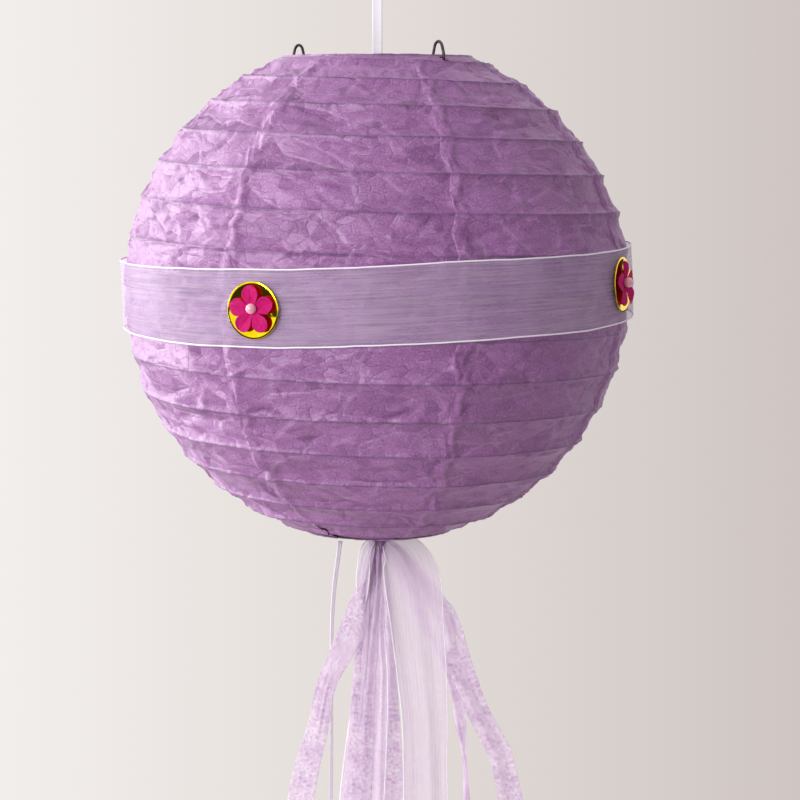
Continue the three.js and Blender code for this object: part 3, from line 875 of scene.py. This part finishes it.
def add_gore(number):
    turn = 360 / GORES
    start = SEAM_AZIMUTH + (number - 1) * turn
    middle = start + turn / 2
    azimuth = np.linspace(start - LAP, start + turn + LAP, GORE_COLUMNS)
    rows = gore_rows(middle)
    fade = off_edges(rows, 5)[:, None]
    latitude = rows[:, None] + (rib_latitude(azimuth) - rib_latitude(middle)) * fade
    swing = np.abs((rows - rib_latitude(start)) / RIB_PITCH % 1 - 0.5)
    sway = 1.6 * swing - 0.4 + 0.5 * soft_noise(flat_place(rows / 7, rows * 0), 71)
    swayed = azimuth + sway[:, None] * fade
    over_rib = latitude - rib_latitude(swayed)
    angle, level = np.radians(swayed), np.radians(latitude)
    direction = around(angle, np.cos(level), np.sin(level))
    offset = paper_offset(azimuth, rows, latitude, over_rib, direction)
    across, height = ball(RADIUS + offset * MM, latitude)
    loose_edge = LOOSE_RISE * np.exp(-((azimuth - LOOSE_AZIMUTH) / 20) ** 2)[None, :]
    height = height + loose_edge * np.clip((-58 - latitude) / 12, 0, 1)

    drift = soft_noise(flat_place(azimuth / 4, azimuth * 0, number), 70)
    top = rolled_rim(RING_RADIUS, RING_HEIGHT, 1, TOP_EDGE, drift)
    low = rolled_rim(BOTTOM_RADIUS, BOTTOM_HEIGHT, -1, BOTTOM_EDGE, drift)
    across = np.concatenate([top[0], across, low[0][::-1]])
    height = np.concatenate([top[1], height, (low[1] + loose_edge)[::-1]])
    angle = np.pad(angle, ((RIM_ROWS, RIM_ROWS), (0, 0)), "edge")
    points = around(angle, across, CENTRE_Z + height)

    x = (angle - math.radians(middle)) * across + number * 0.3
    y = over_rib * DEGREE
    roll = np.arange(1, RIM_ROWS + 1)[:, None] * MM
    y = np.concatenate([y[:1] + roll[::-1], y, y[-1:] - roll])
    gore = thick_sheet(f"gore_{number}", points, -0.12 * MM, np.stack([x, y], -1),
                       ear_hole(points))
    dress(gore, PAPER, "paper", "frame", f"paper_gore_{number}")
    fold(gore)


def ear_hole(points):
    """False for the cells where the expander's outer legs pass through the paper."""
    middle = (points[:-1, :-1] + points[1:, 1:]) / 2
    height = middle[..., 2] - CENTRE_Z
    keep = np.ones(height.shape, bool)
    for azimuth in EAR_AZIMUTHS:
        angle = math.radians(azimuth)
        along = middle @ np.array([-math.sin(angle), math.cos(angle), 0]) - 1.5 * MM
        out = middle @ np.array([math.cos(angle), math.sin(angle), 0])
        inside = (np.abs(along) < 2.3 * MM) & (out > RING_RADIUS + 1.9 * MM) & (
            out < RING_RADIUS + 8 * MM)
        keep &= ~(inside & (height > RING_HEIGHT - 3 * MM))
    return keep


def fold(thing):
    """Gives the piece its own copy of its mesh."""
    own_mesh(thing)


for gore_number in range(1, GORES + 1):
    add_gore(gore_number)


# ---- the rib ----
def add_rib():
    steps = 66
    latitude = np.linspace(67.2, -67.2, int(134.4 / RIB_PITCH * steps))
    azimuth = np.radians((RIB_PHASE - latitude) / RIB_PITCH * 360 - 90)
    level, height = ball(RADIUS - 0.95 * MM, latitude)
    path = around(azimuth, level, CENTRE_Z + height)
    rib = tube("bamboo_rib", path, 0.75 * MM, 0.55 * MM, sides=6, first=(0, 0, 1))
    dress(rib, RIB, "rib", "frame", "rib_spiral")
    fold(rib)


add_rib()


# ---- wire: the CAD solids keep their shape ----
for wire_node in ("expander_wire", "top_ring", "bottom_ring"):
    wire_materials = frame["nodes"][wire_node].data.materials
    wire_materials.clear()
    wire_materials.append(WIRE)


# ---- band ----
def spun(x, y, angle):
    """x and y turned by an angle in radians."""
    c, s = math.cos(angle), math.sin(angle)
    return x * c - y * s, x * s + y * c


def tilt(points):
    """Leans points about the lantern's centre, as the band does, and lifts them to it."""
    x, z = spun(points[..., 0], points[..., 2], math.radians(BAND_TILT))
    return np.stack([x, points[..., 1], z + CENTRE_Z + BAND_LIFT], -1)


# How far the band's edges stray from level: azimuth in degrees, top and bottom edge in millimetres.
BAND_EDGES = [(0, 1.5, 0), (15, 2.1, -0.5), (35, 0.8, -0.9), (50, 0, -1.9), (70, 0, -1.5),
              (115, 0.4, -0.8), (180, 1.2, 0.6), (250, 2.6, 3), (285, 3.2, 3.4), (315, 2.4, 1),
              (340, 1.5, -0.3), (360, 1.5, 0)]


def band_edge_wave(azimuth, side):
    """How far the band's edge strays from its line, in metres. side is 1 for the top edge."""
    loop = np.sin(azimuth) * 2 + 5
    slow = soft_noise(flat_place(loop * 2.2, azimuth * 0, side), 7)
    quick = soft_noise(flat_place(loop * 7, azimuth * 0, side), 8)
    place, top, low = np.array(BAND_EDGES).T
    drift = np.interp(np.degrees(azimuth) % 360, place, top if side > 0 else low)
    return (0.3 * slow + 0.15 * quick + drift) * MM


def add_band():
    lap_start = math.radians(197)    # its ends meet at the back
    lap = 16 * MM / BAND_RADIUS
    columns = 560
    azimuth = np.linspace(lap_start, lap_start + 2 * math.pi + lap, columns)
    spread = np.linspace(0, 1, columns)
    across = np.linspace(-1, 1, 25)
    half = BAND_WIDTH / 2 - 0.5 * MM
    wave_top = band_edge_wave(azimuth, 1)
    wave_low = band_edge_wave(azimuth, -1)
    share = (across[:, None] + 1) / 2
    z = half * across[:, None] + wave_top * share + wave_low * (1 - share)
    ripple = 0.28 * MM * soft_noise(flat_place(azimuth[None] * 22, across[:, None] * 1.6), 21)
    bow = 0.35 * MM * (1 - across[:, None] ** 2)
    over = 0.55 * MM * np.clip((spread - 0.9) / 0.08, 0, 1)
    radius = BAND_RADIUS + ripple + bow + over[None, :]
    points = around(azimuth, radius, z)
    uv = flat_uv(azimuth[None] * BAND_RADIUS, across[:, None] * half)
    band = thick_sheet("organza_ribbon", tilt(points), 0.15 * MM, uv)
    dress(band, BAND_SHEER, "organza", "band", "organza_band")
    for name, row, node in (("hem_top", -1, "band_edge_top"), ("hem_low", 0, "band_edge_bottom")):
        path = points[row] + np.array([0, 0, 0.45 * MM * (1 if row else -1)])
        hem = tube(name, tilt(path), 0.44 * MM, 0.36 * MM, sides=8, first=(0, 0, 1))
        dress(hem, CORD, "edge_cord", "band", node)


add_band()


# ---- trims ----
def lathe(name, profile, sides=64):
    """A closed turned solid about Z from (radius, height) points that start and end on the axis."""
    angle = round_angles(sides)
    profile = np.asarray(profile)
    ring = profile[1:-1]
    vertices = np.stack([ring[:, :1] * np.cos(angle), ring[:, :1] * np.sin(angle),
                         ring[:, 1:] + 0 * angle[None]], -1).reshape(-1, 3)
    count = len(vertices)
    vertices = np.concatenate([vertices, [[0, 0, profile[0, 1]], [0, 0, profile[-1, 1]]]])
    faces = ring_faces(len(ring), sides)
    start, end = faces.pop(-2), faces.pop()
    for hub, edge in ((count, start), (count + 1, end)):
        faces += [[hub, edge[i - 1], edge[i]] for i in range(sides)]
    return make_object(name, vertices, faces, vertices[:, :2])


def face_out(thing, azimuth, radius, roll=0.0):
    """Turns a piece built about Z to face outward on the band."""
    a = math.radians(azimuth)
    side = np.array([math.cos(a), math.sin(a), 0])
    up = np.array([0.0, 0, 1])
    local = np.array([v.co for v in thing.data.vertices])
    x, y = spun(local[:, 0], local[:, 1], roll)
    z = local[:, 2]
    placed = x[:, None] * side + y[:, None] * up + around(a, radius + z, 0)
    thing.data.vertices.foreach_set("co", tilt(placed).astype(np.float32).ravel())
    thing.data.update()


def petal_points(rows, columns, length, width, rng):
    """One petal along +Y from the flower's middle: wide round end, creased middle, cupped sides."""
    v = 1 - (1 - np.linspace(0, 0.97, rows)[:, None]) ** 1.6
    u = np.linspace(-1, 1, columns)[None, :]
    widest = 0.62
    grow = np.clip(v / widest, 0, 1)
    base = 0.34 + 0.66 * grow * grow * (3 - 2 * grow)
    end = np.sqrt(np.clip(1 - ((v - widest) / (1 - widest)) ** 2, 0, 1))
    x = u * width / 2 * np.where(v < widest, base, end)
    y = 0.8 * MM + (length - 0.8 * MM) * v
    rise = 1.9 * MM * v ** 1.2 - 1.1 * MM * v ** 4
    cup = 0.9 * MM * (u ** 2) * np.sin(math.pi * np.clip(v, 0, 1)) ** 0.8
    crease = -0.55 * MM * np.exp(-(u / 0.13) ** 2) * np.sin(math.pi * v * 0.93) ** 0.5
    veins = 0.10 * MM * np.cos(9 * u * (1 - 0.4 * v)) * v
    wave = 0.3 * MM * np.sin(3 * u + rng.uniform(0, 6)) * v
    grain = 0.14 * MM * crumple(flat_place(x, y, rng.uniform(0, 9)) / 0.0026, 5)
    return np.stack([x, y + 0 * u, rise + cup + crease + veins + wave + grain], -1)


DISC_BACK = BAND_RADIUS + 0.65 * MM
DISC_THICKNESS = 1.5 * MM
# The dish in shares of its reach and thickness, from the middle of its face round to its back.
DISH = [(0, 0.36), (0.4, 0.41), (0.7, 0.51), (0.985, 0.65), (0.995, 0.63), (1, 0.53),
        (0.99, 0.43), (0.7, 0.28), (0.4, 0.17), (0, 0.12)]
PEARL_REACH = 2.9 * MM
PEARL_SHIFT = (0.6 * MM, 1.2 * MM, 0)  # it isn't glued in the flower's exact middle


def add_disc(number, azimuth):
    low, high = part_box(f"gold_disc_{number}")
    reach = (high.z - low.z) / 2
    steps = smooth_path([(r * reach, h * DISC_THICKNESS, 0) for r, h in DISH], 40)[:, :2]
    steps[0, 0] = steps[-1, 0] = 0
    disc = lathe(f"sequin_{number}", steps[::-1])
    face_out(disc, azimuth, DISC_BACK)
    dress(disc, GOLD, "gold_mirror", "band", f"gold_disc_{number}")


def add_flower(number, azimuth):
    rng = np.random.default_rng(40 + number)
    parts, faces, count = [], [], 0
    rows, columns = 22, 17
    for i in range(5):
        length = 13.6 * MM * rng.uniform(0.96, 1.03)
        width = 9.8 * MM * rng.uniform(0.95, 1.05)
        grid = petal_points(rows, columns, length, width, rng)
        grid[..., 2] += rng.uniform(-0.4, 0.4) * MM * np.linspace(0, 1, rows)[:, None]
        x, y = spun(grid[..., 0], grid[..., 1], 2 * math.pi * i / 5 + rng.uniform(-0.05, 0.05))
        turned = np.stack([x, y, grid[..., 2] + 0.12 * MM * i], -1)
        petal = thick_sheet("petal", turned, 0.35 * MM, turned[..., :2])
        faces += [[k + count for k in p.vertices] for p in petal.data.polygons]
        parts.append(np.array([v.co for v in petal.data.vertices]))
        count += len(parts[-1])
        bpy.data.objects.remove(petal)
    vertices = np.concatenate(parts)
    flower = make_object(f"petals_{number}", vertices, faces, vertices[:, :2])
    face_out(flower, azimuth, DISC_BACK + DISC_THICKNESS, rng.uniform(-0.06, 0.06))
    dress(flower, PETAL, "flower", "band", f"flower_{number}")


def add_pearl(number, azimuth):
    arc = np.radians(np.linspace(-90, 90, 22))
    outline = np.stack([np.cos(arc), np.sin(arc)], 1) * PEARL_REACH
    outline[0, 0] = outline[-1, 0] = 0
    pearl = lathe(f"bead_{number}", outline, 32)
    shifted = np.array([v.co for v in pearl.data.vertices]) + np.array(PEARL_SHIFT)
    pearl.data.vertices.foreach_set("co", shifted.astype(np.float32).ravel())
    face_out(pearl, azimuth, DISC_BACK + DISC_THICKNESS + 2.4 * MM)
    dress(pearl, PEARL, "pearl", "band", f"pearl_{number}")


for trim_number, trim_azimuth in enumerate(TRIM_AZIMUTHS, 1):
    for add_part in (add_disc, add_flower, add_pearl):
        add_part(trim_number, trim_azimuth)


# ---- tie round the expander's hump ----
def add_tie():
    loop = wrap("tie_wrap", HUMP, HUMP_AXIS, (1.8 * MM, 2.1 * MM), 0.2 * MM, 1.9 * MM, 0.4 * MM)
    dress(loop, RIBBON, "ribbon", "tie", "tie_loop")
    add_ribbon_knot("tie_bow", "tie_knot", 4.6, 0.9, 1.0, 0.6, "tie")


add_tie()


# ---- tail ----
def strip_grid(line, flat_width, waves, steps=150, phase=0.0, seed=1, curl=0.0):
    """A streamer's surface about a line of (x, y, z, shown width, turn) points in millimetres from
    the bottom bar. Where it shows narrower than it was cut, it is pleated."""
    path = smooth_path([(x * MM, y * MM, BAR.z + z * MM, w * MM, a) for x, y, z, w, a in line],
                       steps)
    points, width = path[:, :3], path[:, 3:4]
    u = np.linspace(-1, 1, 31)[None, :]
    share = np.clip(flat_width / width, 1.0, 6.0)
    depth = width / (math.pi * waves) * np.sqrt(share - 1)
    down = np.linspace(0, 1, steps + 1)[:, None]
    length = path_length(points)
    pleat = depth * np.cos(math.pi * waves * (u + 0.35 * np.sin(3 * down + seed)) + phase)
    roll = curl * width * (u ** 2 - 0.35)
    flutter = 0.9 * MM * soft_noise(flat_place(u * 1.3, down * length / 0.03, seed), 80)
    crease = crumple(flat_place(u * flat_width / 2 / 0.006, down * length / 0.009, seed), 90)
    offset = pleat + roll + flutter * down ** 0.4 + 0.4 * MM * crease
    grid = strip_points(points, np.radians(path[:, 4]), u * width / 2, offset)
    return grid, flat_uv(u * flat_width / 2, down * length), length


def add_streamer(name, node, line, flat_width, waves, **shape):
    grid, uv, length = strip_grid(line, flat_width * MM, waves, **shape)
    strip = thick_sheet(name, grid, 0.12 * MM, uv)
    if node.startswith("organza"):
        dress(strip, STREAMER_SHEER, "organza", "tail", node)
        for side, column in (("left", 0), ("right", -1)):
            hem = tube(f"{name}_hem_{side}", grid[:, column], 0.36 * MM, 0.25 * MM, sides=6)
            dress(hem, CORD, "edge_cord", "tail")
    else:
        dress(strip, TISSUE, "tissue", "tail", node)


# Each streamer: middle x, y, z below the bottom bar and shown width, all in mm, turn in degrees.
SHEER_RIGHT = [(6, -7.5, -2.5, 9, 0), (15, -9, -11, 27, 6), (21, -10, -27, 34, 8),
               (24, -12, -54, 32, 4), (27, -16, -84, 30, 0), (29, -20, -114, 27, -6),
               (29.5, -25, -154, 26, -10), (32, -35, -250, 31, 6), (36, -46, -345, 33, 12)]
SHEER_LEFT = [(-2, -3, -3, 6, 0), (-3, -4, -30, 10, 10), (-3.5, -5, -62, 16, 22),
              (-4, -6, -95, 21, 20), (-9, -7, -155, 27, 10), (-16, -8, -250, 32, 0),
              (-20, -9, -350, 34, -10)]
SHEER_BOW = [(-3, -8, -2, 4, 10), (-7.2, -10, -8, 8, 20), (-8.6, -12, -18, 8.5, 25),
             (-9.2, -11, -29, 7, 20), (-9.6, -6, -40, 4, 10)]
TISSUE_LEFT = [(-1.5, -6, -5, 4, 20), (-5.6, -7, -26, 11, 25), (-12.8, -9, -50, 17, 15),
               (-20.6, -11, -68, 15, 10), (-28.4, -13, -83, 12.5, 15), (-33, -15, -96, 11.5, 20),
               (-37, -17, -118, 13, 15), (-46, -21, -154, 16, 5), (-60, -30, -250, 18, -5),
               (-66, -38, -340, 18, 10)]
TISSUE_MIDDLE = [(-0.8, -5, -4, 4, -10), (-2, -6, -30, 10, -10), (-5.6, -7, -60, 13, -4),
                 (-8.5, -9, -89, 14, 0), (-12, -12, -154, 17, 8), (-18, -17, -260, 18, 0),
                 (-20, -22, -370, 18, -12)]
TISSUE_BACK = [(1, 5, -4, 4, 0), (2.8, 5, -44, 11, 5), (4, 6, -89, 15, 0), (5.8, 8, -154, 19.5, -6),
               (9, 10, -260, 19, 0), (10, 12, -385, 19, 8)]
TISSUE_NARROW = [(3, 6, -4, 4, 0), (22, 8, -42, 9, 20), (38, 10, -76, 8, 45), (43, 11, -90, 6, 60),
                 (49, 13, -108, 9, 35), (52, 15, -126, 8.5, 25), (54, 17, -142, 6, 60),
                 (55, 19, -156, 6, 70), (60, 23, -250, 12, 0), (66, 29, -350, 14, -20)]
TISSUE_RIGHT = [(4, 7, -3, 5, 0), (22, 9, -27, 12, -10), (38, 12, -47, 13, -28),
                (42, 12.3, -53, 12, -14), (46, 14, -65, 14, -5), (50, 16, -83, 16, 0),
                (61, 20, -113, 14.5, -12), (73.6, 24, -139, 15, -8), (79, 26, -154, 15, -5),
                (98, 34, -250, 16, 5), (108, 41, -330, 17, 15)]


def add_tail():
    add_streamer("sheer_right", "organza_streamer_2", SHEER_RIGHT, 38, 1.6,
                 seed=3, phase=0.6, curl=0.05)
    add_streamer("sheer_left", "organza_streamer_1", SHEER_LEFT, 38, 2.4, seed=7, phase=1.2)
    add_streamer("sheer_bow", "organza_loop", SHEER_BOW, 14, 1.5, steps=60, seed=11)
    add_streamer("tissue_left", "tissue_streamer_1", TISSUE_LEFT, 17, 1.6, seed=13, curl=0.03)
    add_streamer("tissue_middle", "tissue_streamer_2", TISSUE_MIDDLE, 17, 1.8, seed=17)
    add_streamer("tissue_back", "tissue_streamer_3", TISSUE_BACK, 18, 1.4, seed=19)
    add_streamer("tissue_narrow", "tissue_streamer_4", TISSUE_NARROW, 13, 1.5, seed=23)
    add_streamer("tissue_right", "tissue_streamer_5", TISSUE_RIGHT, 16, 1.5, seed=29, curl=-0.03)


def add_knot():
    """The tissue gathered in pleats under the bottom bar, and the loop that ties it on."""
    rings = [(0, 0, -2.4, 2.2), (0, 0, -4, 3.6), (0.2, -0.4, -6.5, 4.2), (-0.3, -2.4, -10, 3.2),
             (-0.6, -3, -15, 2.6), (-0.5, -2.4, -21, 2.0), (0, -1.6, -27, 0.8)]
    path = smooth_path([(x * MM, y * MM, BAR.z + z * MM, r * MM) for x, y, z, r in rings], 40)
    sides = 60
    angle = round_angles(sides)[None, :]
    down = np.linspace(0, 1, len(path))[:, None]
    pleat = np.cos(5 * angle + 2.2 * down + 0.4) + 0.5 * np.cos(11 * angle - 3 * down + 0.8)
    radius = path[:, 3:] * (1 + 0.2 * pleat)
    points = np.stack([path[:, :1] + radius * np.cos(angle), path[:, 1:2] + radius * np.sin(angle),
                       path[:, 2:3] + 0 * radius], -1)[::-1]
    uv = flat_uv(angle * 4 * MM, path[::-1, 2:3])
    knot = make_object("tissue_gather", points.reshape(-1, 3), ring_faces(len(path), sides),
                       uv.reshape(-1, 2))
    dress(knot, TWISTED, "tissue", "tail", "tail_knot")
    swell = (2.6 + 0.5 * np.sin(5 * round_angles(sides))) * MM
    loop = wrap("tissue_tie", BAR, BAR_AXIS, (2.0 * MM, 2.3 * MM), -0.2 * MM, swell, 0.6 * MM,
                steps=sides, sides=12)
    dress(loop, TWISTED, "tissue", "tail", "tail_tie")


add_tail()
add_knot()


# ---- stage and light ----
def stage_material():
    m = new_nodes("pale_floor")
    cloud = m.noise(m.coordinates("Object"), 6, 3)
    colour = m.ramp(cloud, [(0.3, rgb(198, 192, 189)), (0.7, rgb(208, 203, 200))])
    return m.finish(m.principled(Base_Color=colour, Roughness=0.85))


def add_stage():
    sides = 96
    reach, floor = 0.62, cad_low.z - 0.06
    angle = round_angles(sides)
    edge = np.stack([reach * np.cos(angle), reach * np.sin(angle), np.full(sides, floor)], 1)
    disc = make_object("floor", edge, [list(range(sides))], smooth=False)
    disc.data.materials.append(stage_material())


def add_world():
    """A pale wall where the camera sees it, painted lighter on the left where the window light
    falls, a soft room for light, and a lit ceiling over a dark room where a mirror shows it."""
    world = bpy.data.worlds.new("studio")
    bpy.context.scene.world = world
    m = Nodes(world, "ShaderNodeOutputWorld")
    place = m.add("ShaderNodeTexCoord").outputs["Generated"]
    split = m.add("ShaderNodeSeparateXYZ", {"Vector": place})
    across, depth, height = (split.outputs[axis] for axis in "XYZ")
    # Painted light: the wall the camera sees is lighter on the left, where the window light falls,
    # and darker to the right.
    wall = m.ramp(m.span(across, -0.17, 0.17, 0, 1), [
        (0, rgb(243, 239, 237)), (0.45, rgb(228, 221, 217)), (1, rgb(206, 197, 195))])
    seen = m.add("ShaderNodeBackground", {"Color": wall}).outputs[0]
    room = m.ramp(m.span(across, -1, 1, 0, 1), [
        (0, (1.35, 1.3, 1.33, 1)), (0.35, (0.95, 0.9, 0.94, 1)), (0.6, (0.68, 0.62, 0.67, 1)),
        (1, (0.5, 0.44, 0.47, 1))])
    strength = m.math("MULTIPLY", m.span(depth, -0.3, 1.0, 0.9, 1.5),
                      m.span(height, -0.8, 0.3, 0.6, 1.05))
    fill = m.add("ShaderNodeBackground", {"Color": room, "Strength": strength}).outputs[0]
    patch = m.noise(place, 4.2, 1)
    line = m.math("ADD", m.math("MULTIPLY", patch, 0.4), height)
    mirror = m.ramp(line, [
        (0, (0.04, 0.03, 0.02, 1)), (0.09, (0.05, 0.04, 0.03, 1)), (0.1, (1.0, 0.98, 0.9, 1)),
        (1, (1.1, 1.08, 1.0, 1))])
    shiny = m.add("ShaderNodeBackground", {"Color": mirror}).outputs[0]
    ray = m.add("ShaderNodeLightPath").outputs
    lit = m.blend(ray["Is Singular Ray"], fill, shiny)
    m.finish(m.blend(ray["Is Camera Ray"], lit, seen))


def add_light(name, place, size, power, colour):
    light = bpy.data.lights.new(name, "AREA")
    light.shape = "RECTANGLE"
    light.size, light.size_y = size
    light.energy = power
    light.color = colour
    thing = bpy.data.objects.new(name, light)
    thing.location = place
    away = Vector(place) - Vector((0, 0, CENTRE_Z))
    thing.rotation_euler = away.to_track_quat("Z", "Y").to_euler()
    bpy.context.collection.objects.link(thing)


add_stage()
add_world()
bpy.context.scene.view_settings.view_transform = "Standard"
add_light("window", (-1.4, 0.5, CENTRE_Z + 0.16), (0.8, 1.3), 23, (1.0, 0.99, 0.985))
add_light("room", (-1.15, -1.3, CENTRE_Z + 0.3), (0.45, 0.6), 16, (1.0, 0.98, 0.98))
